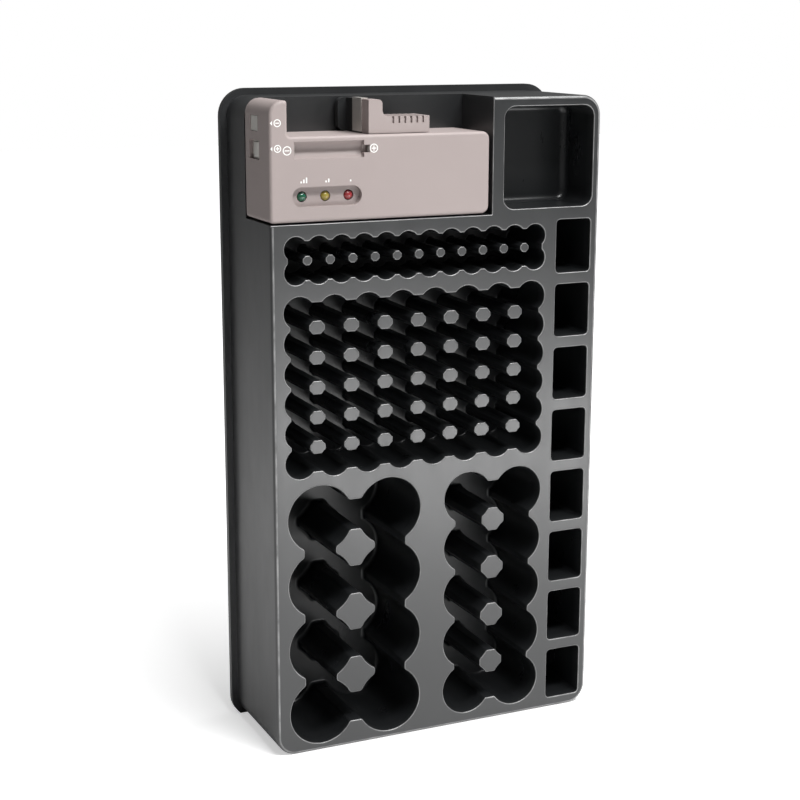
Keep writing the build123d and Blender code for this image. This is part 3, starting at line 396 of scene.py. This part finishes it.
class Shell:
    """Vertices and faces of one piece, gathered band by band and flat by flat."""

    def __init__(self):
        self.points, self.quads, self.triangles, self.count = [], [], [], 0

    def add(self, points):
        """Keep these (u, w, depth) points and return their numbers."""
        self.points.append(points.reshape(-1, 3))
        numbers = np.arange(self.count, self.count + points.reshape(-1, 3).shape[0])
        self.count += len(numbers)
        return numbers.reshape(points.shape[:-1])

    def band(self, outline, profile, outward=False):
        """Carry a profile along an outline: point (i, j) is outline point j moved along its
        normal by the profile's offset i, at the profile's depth i. It faces the inside, or the
        outside. Returns the numbers of its first and last rows.
        """
        place, normal = outline
        offset, depth = profile[:, :1], profile[:, 1:]
        grid = np.stack([place[None, :, 0] + offset * normal[None, :, 0],
                         place[None, :, 1] + offset * normal[None, :, 1],
                         np.broadcast_to(depth, (len(depth), len(place)))], -1)
        numbers = self.add(grid)
        self.weave(numbers, outward)
        return numbers[0], numbers[-1]

    def weave(self, numbers, outward=False):
        """Quads between neighbouring rows of vertices, each row closed on itself."""
        far = np.roll(numbers, -1, 1)
        quads = np.stack([numbers[:-1], far[:-1], far[1:], numbers[1:]], -1).reshape(-1, 4)
        self.quads.append(quads[:, ::-1] if outward else quads)

    def flat(self, rings, to_front=True):
        """Triangles inside the first ring of vertices and outside the others."""
        points = np.concatenate(self.points)
        numbers = np.concatenate(rings)
        ends = np.cumsum([0] + [len(ring) for ring in rings])
        loops = [list(range(a, b)) for a, b in zip(ends[:-1], ends[1:])]
        flat = points[numbers][:, :2] / MM
        out_points, _, faces, origin, _, inside = delaunay_2d_cdt(
            [Vector(p) for p in flat.tolist()], [], loops, 1, 1e-7)
        source = np.array([o[0] for o in origin])
        kept = np.array([f for f, ids in zip(faces, inside) if list(ids) == [0]])
        corner = np.array([tuple(p) for p in out_points])[kept]
        one, two = corner[:, 1] - corner[:, 0], corner[:, 2] - corner[:, 0]
        clockwise = one[:, 0] * two[:, 1] - one[:, 1] * two[:, 0] < 0
        kept[clockwise] = kept[clockwise][:, ::-1]
        triangles = numbers[source[kept]]
        self.triangles.append(triangles if to_front else triangles[:, ::-1])

    def piece(self, name, body, slot, material, replaced=()):
        """Make the mesh, welded and smooth with its flats kept flat, and let it ride."""
        tray = bpy.context.scene.battery_tray.tray
        points = np.concatenate(self.points)
        place = np.stack([points[:, 0] - tray.width / 2, points[:, 2] - tray.depth / 2,
                          points[:, 1]], -1)
        faces = [f for group in self.quads + self.triangles for f in group.tolist()]
        mesh = bpy.data.meshes.new(name)
        mesh.from_pydata(place.tolist(), [], faces)
        mesh.validate()
        mesh.shade_smooth()
        mesh.set_sharp_from_angle(angle=SHARP_ANGLE)
        mesh.materials.append(material)
        piece = bpy.data.objects.new(name, mesh)
        bpy.context.scene.collection.objects.link(piece)
        weighted = piece.modifiers.new("flats", "WEIGHTED_NORMAL")
        weighted.keep_sharp = True
        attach(piece, body)
        if replaced:
            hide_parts(*replaced)
        return piece


# ---- materials
def nodes_of(name):
    """A new material with its node tree and shader."""
    material = bpy.data.materials.new(name)
    material.use_nodes = True
    tree = material.node_tree
    return material, tree, tree.nodes["Principled BSDF"]


def noise(tree, scale, detail=3.0, roughness=0.5, stretch=None):
    """Noise on the object's own coordinates, as a number from 0 to 1."""
    place = tree.nodes.new("ShaderNodeTexCoord")
    texture = tree.nodes.new("ShaderNodeTexNoise")
    texture.inputs["Scale"].default_value = scale
    texture.inputs["Detail"].default_value = detail
    texture.inputs["Roughness"].default_value = roughness
    source = place.outputs["Object"]
    if stretch:
        mapping = tree.nodes.new("ShaderNodeMapping")
        mapping.inputs["Scale"].default_value = stretch
        tree.links.new(source, mapping.inputs["Vector"])
        source = mapping.outputs["Vector"]
    tree.links.new(source, texture.inputs["Vector"])
    return texture.outputs["Fac"]


def spread(tree, value, low, high, from_low=0.3, from_high=0.7):
    """A number moved from one range to another."""
    node = tree.nodes.new("ShaderNodeMapRange")
    node.inputs["From Min"].default_value = from_low
    node.inputs["From Max"].default_value = from_high
    node.inputs["To Min"].default_value = low
    node.inputs["To Max"].default_value = high
    tree.links.new(value, node.inputs["Value"])
    return node.outputs["Result"]


def product(tree, one, two):
    """Two numbers multiplied."""
    node = tree.nodes.new("ShaderNodeMath")
    node.operation = "MULTIPLY"
    tree.links.new(one, node.inputs[0])
    tree.links.new(two, node.inputs[1])
    return node.outputs["Value"]


def along_depth(tree):
    """The object's own Y, which runs back from the face."""
    place = tree.nodes.new("ShaderNodeTexCoord")
    split = tree.nodes.new("ShaderNodeSeparateXYZ")
    tree.links.new(place.outputs["Object"], split.inputs["Vector"])
    return split.outputs["Y"]


def blend_tones(tree, value, one, two):
    """A colour between two, by a number."""
    node = tree.nodes.new("ShaderNodeMix")
    node.data_type = "RGBA"
    node.inputs["A"].default_value = (*one, 1.0)
    node.inputs["B"].default_value = (*two, 1.0)
    tree.links.new(value, node.inputs["Factor"])
    return node.outputs["Result"]


def raise_bump(tree, shader, height, strength, distance, before=None):
    """Bump from a height, over another bump."""
    node = tree.nodes.new("ShaderNodeBump")
    node.inputs["Strength"].default_value = strength
    node.inputs["Distance"].default_value = distance
    tree.links.new(height, node.inputs["Height"])
    if before:
        tree.links.new(before, node.inputs["Normal"])
    tree.links.new(node.outputs["Normal"], shader.inputs["Normal"])
    return node.outputs["Normal"]


def tones(colour, change):
    """Two tones either side of a colour."""
    return [tuple(min(1.0, c * k) for c in colour) for k in (1 - change, 1 + change)]


def moulded(name, colour, roughness=(0.42, 0.52), change=0.05, grain=0.12, specular=0.5, deep=None,
             lip_highlight_grey=None):
    """Moulded plastic: a fine spark-eroded grain, soft sink marks and a little scuffing.

    Where deep is given, roughness and gloss fall to those shares of themselves behind the face.
    With a grey given for the lips, a painted highlight pales the lips along the face, by patches, up to
    that grey.
    """
    material, tree, shader = nodes_of(name)
    base = blend_tones(tree, spread(tree, noise(tree, 18.0), 0.0, 1.0), *tones(colour, change))
    # painted highlight: the lips along the face are paled towards a grey, by patches, where their edges
    # would catch the light
    if lip_highlight_grey:
        share = spread(tree, noise(tree, 140.0), 0.35, 1.0)
        for limits in (LIP_STARTS, LIP_ENDS):
            share = product(tree, spread(tree, along_depth(tree), 0.0, 1.0, *limits), share)
        mix = tree.nodes.new("ShaderNodeMix")
        mix.data_type = "RGBA"
        mix.inputs["B"].default_value = (lip_highlight_grey, lip_highlight_grey, lip_highlight_grey, 1.0)
        tree.links.new(base, mix.inputs["A"])
        tree.links.new(share, mix.inputs["Factor"])
        base = mix.outputs["Result"]
    tree.links.new(base, shader.inputs["Base Color"])
    scuffs = noise(tree, 60.0, 6.0, 0.65, (1.0, 1.0, 0.35))
    level = spread(tree, scuffs, *roughness)
    shader.inputs["Specular IOR Level"].default_value = specular
    if deep:
        level = product(tree, spread(tree, along_depth(tree), 1.0, deep[0], *DEEP_FROM_TO), level)
        tree.links.new(spread(tree, along_depth(tree), specular, specular * deep[1], *DEEP_FROM_TO),
                       shader.inputs["Specular IOR Level"])
    tree.links.new(level, shader.inputs["Roughness"])
    waves = raise_bump(tree, shader, noise(tree, 25.0, 2.0), 0.12, 0.0006)
    raise_bump(tree, shader, noise(tree, 2600.0, 2.0), grain, 0.00003, waves)
    return material


def metal(name, colour, roughness=(0.18, 0.32), stretch=(1.0, 1.0, 12.0)):
    """Plated or drawn metal: fine lines along one way and faint handling marks."""
    material, tree, shader = nodes_of(name)
    tree.links.new(blend_tones(tree, spread(tree, noise(tree, 90.0), 0.0, 1.0), *tones(colour, 0.06)),
                   shader.inputs["Base Color"])
    lines = noise(tree, 900.0, 3.0, 0.5, stretch)
    tree.links.new(spread(tree, lines, *roughness), shader.inputs["Roughness"])
    shader.inputs["Metallic"].default_value = 1.0
    raise_bump(tree, shader, lines, 0.08, 0.00002)
    return material


def lens(name, colour):
    """Tinted cast resin, clear in its skin and cloudy inside."""
    material, tree, shader = nodes_of(name)
    tree.links.new(blend_tones(tree, spread(tree, noise(tree, 300.0), 0.0, 1.0), *tones(colour, 0.12)),
                   shader.inputs["Base Color"])
    tree.links.new(spread(tree, noise(tree, 700.0), 0.08, 0.16), shader.inputs["Roughness"])
    shader.inputs["Coat Weight"].default_value = 0.6
    shader.inputs["Coat Roughness"].default_value = 0.05
    shader.inputs["Subsurface Weight"].default_value = 0.35
    shader.inputs["Subsurface Scale"].default_value = 0.0015
    raise_bump(tree, shader, noise(tree, 500.0), 0.03, 0.0001)
    return material


_materials = {}


def finishes():
    """Every finish by its slot, made once."""
    if not _materials:
        c = bpy.context.scene.battery_tray.colours
        _materials.update({
            # the last 0.3 of both black plastics is the grey of the painted highlight on the lips
            "black_plastic": moulded("black plastic", c.black, (0.31, 0.39), 0.08, 0.12, 1.0,
                                      lip_highlight_grey=0.3),
            "cored_plastic": moulded("cored black plastic", c.black, (0.31, 0.39), 0.08, 0.08, 1.0,
                                      (0.85, 0.4), 0.3),
            "taupe_plastic": moulded("taupe plastic", c.taupe, (0.52, 0.62), 0.03, 0.12, 0.4),
            "dark_plastic": moulded("dark plastic", c.dark, (0.35, 0.45), 0.08),
            "contact_metal": metal("plated contact", c.metal, (0.42, 0.52)),
            "dull_contact": metal("dull contact", c.dull, (0.45, 0.6)),
            "screw_steel": metal("screw steel", c.steel, (0.25, 0.4)),
            "spring_steel": metal("spring steel", c.steel, (0.2, 0.35), (12.0, 1.0, 1.0)),
            "green_lens": lens("green lens", c.green),
            "yellow_lens": lens("yellow lens", c.yellow),
            "red_lens": lens("red lens", c.red),
            "board_laminate": moulded("board laminate", c.board, (0.3, 0.4), 0.15, 0.3),
            "component_body": moulded("component body", c.component, (0.4, 0.55), 0.1, 0.3),
            "print": moulded("white print", c.print, (0.45, 0.55), 0.03, 0.05),
        })
    return _materials


class BT_Operator:
    """What every operator here shares."""
    bl_options = {"REGISTER", "UNDO"}

    def execute(self, context):
        """Build, and stop with the fault's own message if something is wrong."""
        self.build(context.scene.battery_tray)
        return {"FINISHED"}


class BT_OT_face(BT_Operator, bpy.types.Operator):
    """Face plate with a rounded outer edge and a rounded lip at every opening"""
    bl_idname = "battery_tray.face"
    bl_label = "Face Plate"

    def build(self, settings):
        """Slab between two flats, with the bay's corner left out of its outline."""
        tray, pockets = settings.tray, settings.pockets
        corners = [(0, 0), (tray.width, 0), (tray.width, tray.height), (tray.bay_width, tray.height),
                   (tray.bay_width, tray.bay_shelf), (0, tray.bay_shelf)]
        place, normal = rounded(corners, [tray.corner] * 3 + [tray.bay_corner] * 3, FINE_STEP)
        by_bay = (place[:, 0] < tray.bay_width + NEAR) & (place[:, 1] > tray.bay_shelf - NEAR)
        scale = np.where(by_bay, tray.bay_edge / tray.edge, 1.0)
        shell = Shell()
        rim = quarter((-tray.edge, tray.edge), tray.edge, -QUARTER_TURN, 0.0)
        offset, depth = rim[:, :1], rim[:, 1:]
        grid = np.stack([place[:, 0] + offset * scale * normal[:, 0],
                         place[:, 1] + offset * scale * normal[:, 1], depth * scale], -1)
        back = np.stack([place[:, 0], place[:, 1], np.full(len(place), tray.thickness)], -1)
        numbers = shell.add(np.concatenate([grid, back[None]]))
        shell.weave(numbers, True)
        fronts, backs = [numbers[0]], [numbers[-1]]
        profile = opening_profile(tray.lip, tray.draft, tray.thickness)
        outlines = [well_outline(getattr(settings, name)) for name in WELL_NAMES]
        outlines += [rectangle(middle, (pockets.width, pockets.height), pockets.corner)
                     for middle in tall_places(pockets)]
        outlines.append(rectangle((pockets.big_u, pockets.big_w), (pockets.big_width, pockets.big_height),
                                  pockets.big_corner, 0.0, FINE_STEP))
        for outline in outlines:
            front, back = shell.band(outline, profile)
            fronts.append(front)
            backs.append(back)
        shell.flat(fronts, True)
        shell.flat(backs, False)
        shell.piece("face_plate", "tray", "black_plastic", finishes()["black_plastic"], ["tray_face"])


def tall_places(pockets):
    """Middles of the tall pockets."""
    return [(pockets.middle_u, pockets.first_w + k * pockets.pitch) for k in range(pockets.count)]


class BT_OT_wells(BT_Operator, bpy.types.Operator):
    """One group of round wells, with its posts"""
    bl_idname = "battery_tray.wells"
    bl_label = "Round Wells"
    group: bpy.props.EnumProperty(name="Group", description="Which wells to build",
                                  items=[(n, n, f"{n} wells") for n in WELL_NAMES])

    def build(self, settings):
        """Pit with posts standing in it, inside a wall, with the hollow posts open behind."""
        tray, group = settings.tray, getattr(settings, self.group)
        shell = Shell()
        pit = pit_profile(tray.lip, tray.draft, tray.thickness, group.depth, group.fillet)
        inner_front, inner_floor = shell.band(well_outline(group), pit)
        back = group.depth + tray.floor
        outer_front, outer_back = shell.band(well_outline(group, tray.wall),
                                             shell_profile(tray.thickness, back, WALL_BACK_EDGE), True)
        feet, hollows = [inner_floor], [outer_back]
        shaft = post_profile(tray.post_lip, tray.draft, group.depth, group.fillet)
        for column in range(group.columns - 1):
            for row in range(group.rows - 1):
                top, foot = shell.band(post_outline(group, column, row), shaft, True)
                shell.flat([top], True)
                feet.append(foot)
                if group.post_wall:
                    roof = tray.thickness
                    hollow, mouth = shell.band(post_outline(group, column, row, group.post_wall),
                                               np.array([(0.0, roof), (0.0, back)]))
                    shell.flat([hollow], False)
                    hollows.append(mouth)
        shell.flat(feet, True)
        shell.flat([outer_front, inner_front], True)
        shell.flat(hollows, False)
        shell.piece(f"{self.group}_wells", "tray", "black_plastic", finishes()["cored_plastic"],
                    [f"{self.group}_{part}" for part in ("well_walls", "well_floor", "posts")])


def pocket(shell, tray, middle, size, corner, depth, fillet, step=CORNER_STEP):
    """One square pocket behind the face plate."""
    pit = pit_profile(tray.lip, tray.draft, tray.thickness, depth, fillet)
    inner_front, inner_floor = shell.band(rectangle(middle, size, corner, 0.0, step), pit)
    outer_front, outer_back = shell.band(rectangle(middle, size, corner, tray.wall, step),
                                         shell_profile(tray.thickness, depth + tray.floor, WALL_BACK_EDGE),
                                         True)
    shell.flat([inner_floor], True)
    shell.flat([outer_front, inner_front], True)
    shell.flat([outer_back], False)


class BT_OT_tall_pockets(BT_Operator, bpy.types.Operator):
    """The column of tall pockets"""
    bl_idname = "battery_tray.tall_pockets"
    bl_label = "Tall Pockets"

    def build(self, settings):
        """Eight separate pockets in one piece."""
        pockets = settings.pockets
        shell = Shell()
        for middle in tall_places(pockets):
            pocket(shell, settings.tray, middle, (pockets.width, pockets.height), pockets.corner,
                   pockets.depth, pockets.fillet)
        shell.piece("tall_pockets", "tray", "black_plastic", finishes()["cored_plastic"],
                    ["nine_volt_wells"])


class BT_OT_big_pocket(BT_Operator, bpy.types.Operator):
    """The big shallow pocket"""
    bl_idname = "battery_tray.big_pocket"
    bl_label = "Big Pocket"

    def build(self, settings):
        """One pocket with a widely rounded floor."""
        pockets = settings.pockets
        shell = Shell()
        pocket(shell, settings.tray, (pockets.big_u, pockets.big_w),
               (pockets.big_width, pockets.big_height), pockets.big_corner, pockets.big_depth,
               pockets.big_fillet, FINE_STEP)
        shell.piece("big_pocket", "tray", "black_plastic", finishes()["cored_plastic"], ["coin_well"])


class BT_OT_marks(BT_Operator, bpy.types.Operator):
    """Ringed plus and minus signs printed on the tester"""
    bl_idname = "battery_tray.marks"
    bl_label = "Printed Signs"

    def build(self, settings):
        """Thin slabs: a ring and its bars for each sign."""
        marks = settings.marks
        shell = Shell()
        places = [((marks.trough_minus_u, marks.trough_w), marks.trough_ring, False),
                  ((marks.trough_plus_u, marks.trough_w), marks.trough_ring, True),
                  ((marks.column_u, marks.column_minus_w), marks.column_ring, False),
                  ((marks.column_u, marks.column_plus_w), marks.column_ring, True)]
        for middle, ring, plus in places:
            self.sign(shell, marks, middle, ring, plus)
            if ring == marks.column_ring:
                tip = middle[0] - ring - marks.arrow_gap - marks.arrow
                corners = [(tip, middle[1]), (tip + marks.arrow, middle[1] - marks.arrow),
                           (tip + marks.arrow, middle[1] + marks.arrow)]
                self.slab(shell, marks, rounded(corners, [0.0] * 3))
        for lamp in range(3):
            count = 3 - lamp
            start = marks.lamp_u + (lamp - 1) * marks.lamp_pitch - (count - 1) * marks.bar_pitch / 2
            for bar in range(count):
                middle = start + bar * marks.bar_pitch
                left, right = middle - marks.bar_width / 2, middle + marks.bar_width / 2
                top = marks.bars_w + (bar + 1) * marks.bar_height
                corners = [(left, marks.bars_w), (right, marks.bars_w), (right, top), (left, top)]
                self.slab(shell, marks, rounded(corners, [0.0] * 4))
        shell.piece("printed_signs", "tester", "black_plastic", finishes()["print"])

    def slab(self, shell, marks, outer, inner=None):
        """A printed patch inside one outline and outside another."""
        rows = np.array([(0.0, -marks.proud), (0.0, marks.proud)])
        front, back = shell.band(outer, rows, True)
        fronts, backs = [front], [back]
        if inner:
            front, back = shell.band(inner, rows)
            fronts.append(front)
            backs.append(back)
        shell.flat(fronts, True)
        shell.flat(backs, False)

    def sign(self, shell, marks, middle, ring, plus):
        """One ring with a bar, or with a cross."""
        circles = [chain([(middle, radius, 0.0, RING_END, 1)], RING_STEP)
                   for radius in (ring, ring - marks.line)]
        self.slab(shell, marks, *circles)
        bar = 2 * ring - 4 * marks.line
        half, reach = marks.line / 2, bar / 2
        u, w = middle
        if plus:
            corners = [(-reach, -half), (-half, -half), (-half, -reach), (half, -reach), (half, -half),
                       (reach, -half), (reach, half), (half, half), (half, reach), (-half, reach),
                       (-half, half), (-reach, half)]
        else:
            corners = [(-reach, -half), (reach, -half), (reach, half), (-reach, half)]
        outline = rounded([(u + a, w + b) for a, b in corners], [0.0] * len(corners))
        self.slab(shell, marks, outline)


CARRIED = {
    "black_plastic": ["tray_walls", "tray_flange", "tester_bay"],
    "taupe_plastic": ["front_shell", "rear_shell", "slider_grip"],
    "dark_plastic": ["slider_carriage"],
    "contact_metal": ["snap_contact_flat", "snap_contact_clip", "column_contact", "slider_contact"],
    "dull_contact": ["trough_contact_minus", "trough_contact_plus"],
    "screw_steel": ["board_screws", "case_screws"],
    "spring_steel": ["guide_rod", "return_spring"],
    "green_lens": ["lamp_green"],
    "yellow_lens": ["lamp_yellow"],
    "red_lens": ["lamp_red"],
    "board_laminate": ["circuit_board"],
    "component_body": ["board_components"],
}


class BT_OT_finishes(BT_Operator, bpy.types.Operator):
    """Finishes for the solids that are shown as they are"""
    bl_idname = "battery_tray.finishes"
    bl_label = "Finishes"

    def build(self, settings):
        """Assign each shown solid's material slots."""
        for slot, names in CARRIED.items():
            for name in names:
                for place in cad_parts[name].material_slots:
                    place.material = finishes()[slot]


class BT_OT_stage(BT_Operator, bpy.types.Operator):
    """Pale floor, soft lamps and the camera"""
    bl_idname = "battery_tray.stage"
    bl_label = "Stage"

    def build(self, settings):
        """Set the scene round the tray."""
        stage = settings.stage
        self.floor(stage)
        self.world(stage)
        for name, (place, size, target) in LAMPS.items():
            self.lamp(name, place, size, getattr(stage, name), target)
        self.camera(stage)
        view = bpy.context.scene.view_settings
        view.view_transform = "Standard"

    def floor(self, stage):
        """One pale square, level with the tray's lower edge."""
        half = stage.floor_size / 2
        mesh = bpy.data.meshes.new("floor")
        mesh.from_pydata([(-half, -half, 0), (half, -half, 0), (half, half, 0), (-half, half, 0)], [],
                         [(0, 1, 2, 3)])
        floor = bpy.data.objects.new("floor", mesh)
        bpy.context.scene.collection.objects.link(floor)
        material, tree, shader = nodes_of("floor paper")
        tone = stage.floor_tone
        tree.links.new(blend_tones(tree, noise(tree, 3.0), *tones((tone, tone, tone), 0.01)),
                       shader.inputs["Base Color"])
        shader.inputs["Roughness"].default_value = 0.9
        shader.inputs["Emission Color"].default_value = (1.0, 1.0, 1.0, 1.0)
        place = tree.nodes.new("ShaderNodeTexCoord")
        distance = tree.nodes.new("ShaderNodeVectorMath")
        distance.operation = "LENGTH"
        tree.links.new(place.outputs["Object"], distance.inputs[0])
        glow = spread(tree, distance.outputs["Value"], stage.glow_near, 1.0, stage.near, stage.far)
        path = tree.nodes.new("ShaderNodeLightPath")
        tree.links.new(product(tree, glow, path.outputs["Is Camera Ray"]),
                       shader.inputs["Emission Strength"])
        mesh.materials.append(material)

    def world(self, stage):
        """Even light from all around, pure white where the camera sees it."""
        world = bpy.data.worlds.new("surround")
        world.use_nodes = True
        bpy.context.scene.world = world
        tree = world.node_tree
        background = tree.nodes["Background"]
        path = tree.nodes.new("ShaderNodeLightPath")
        background.inputs["Color"].default_value = (1.0, 1.0, 1.0, 1.0)
        gloss = spread(tree, path.outputs["Is Glossy Ray"], stage.ambient, stage.gloss, 0.0, 1.0)
        level = tree.nodes.new("ShaderNodeMath")
        level.operation = "MAXIMUM"
        tree.links.new(gloss, level.inputs[0])
        tree.links.new(path.outputs["Is Camera Ray"], level.inputs[1])
        tree.links.new(level.outputs["Value"], background.inputs["Strength"])

    def lamp(self, name, place, size, power, target):
        """A soft lamp, wide and tall, that points at a target."""
        data = bpy.data.lights.new(name, "AREA")
        data.shape = "RECTANGLE"
        data.size, data.size_y = size
        data.energy = power
        lamp = bpy.data.objects.new(name, data)
        lamp.location = place
        lamp.rotation_euler = (Vector(target) - Vector(place)).to_track_quat("-Z", "Y").to_euler()
        bpy.context.scene.collection.objects.link(lamp)

    def camera(self, stage):
        """The photo's viewpoint."""
        data = bpy.data.cameras.new("camera")
        data.lens = stage.lens
        data.sensor_width = 36.0
        data.clip_end = 20.0
        camera = bpy.data.objects.new("camera", data)
        target = Vector((stage.target_x, 0.0, stage.target_z))
        away = Vector((-math.sin(stage.turn) * math.cos(stage.rise),
                       -math.cos(stage.turn) * math.cos(stage.rise), math.sin(stage.rise)))
        camera.location = target + away * stage.distance
        look = (-away).to_track_quat("-Z", "Y").to_matrix() @ Matrix.Rotation(stage.roll, 3, "Z")
        camera.rotation_euler = look.to_euler()
        bpy.context.scene.collection.objects.link(camera)
        bpy.context.scene.camera = camera


class BT_PT_panel(bpy.types.Panel):
    """Buttons for every piece"""
    bl_idname = "BT_PT_panel"
    bl_label = "Battery Tray"
    bl_space_type = "VIEW_3D"
    bl_region_type = "UI"
    bl_category = "Battery Tray"

    def draw(self, context):
        """One button for each operator."""
        for operator in OPERATORS:
            self.layout.operator(operator.bl_idname)


OPERATORS = (BT_OT_face, BT_OT_wells, BT_OT_tall_pockets, BT_OT_big_pocket, BT_OT_marks,
             BT_OT_finishes, BT_OT_stage)
CLASSES = (BT_WellGroup, BT_Tray, BT_Pockets, BT_Marks, BT_Colours, BT_Stage, BT_Settings,
           *OPERATORS, BT_PT_panel)


def register():
    """Register the classes and the settings."""
    for cls in CLASSES:
        bpy.utils.register_class(cls)
    bpy.types.Scene.battery_tray = bpy.props.PointerProperty(type=BT_Settings)


def unregister():
    """Take them away again."""
    del bpy.types.Scene.battery_tray
    for cls in reversed(CLASSES):
        bpy.utils.unregister_class(cls)


def main():
    """Build every piece and the stage."""
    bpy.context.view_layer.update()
    register()
    settings = bpy.context.scene.battery_tray
    for name, sizes in WELL_SIZES.items():
        for key, value in sizes.items():
            setattr(getattr(settings, name), key, value)
    bpy.ops.battery_tray.face()
    for name in WELL_NAMES:
        bpy.ops.battery_tray.wells(group=name)
    bpy.ops.battery_tray.tall_pockets()
    bpy.ops.battery_tray.big_pocket()
    bpy.ops.battery_tray.marks()
    bpy.ops.battery_tray.finishes()
    bpy.ops.battery_tray.stage()


if __name__ == "__main__":
    main()
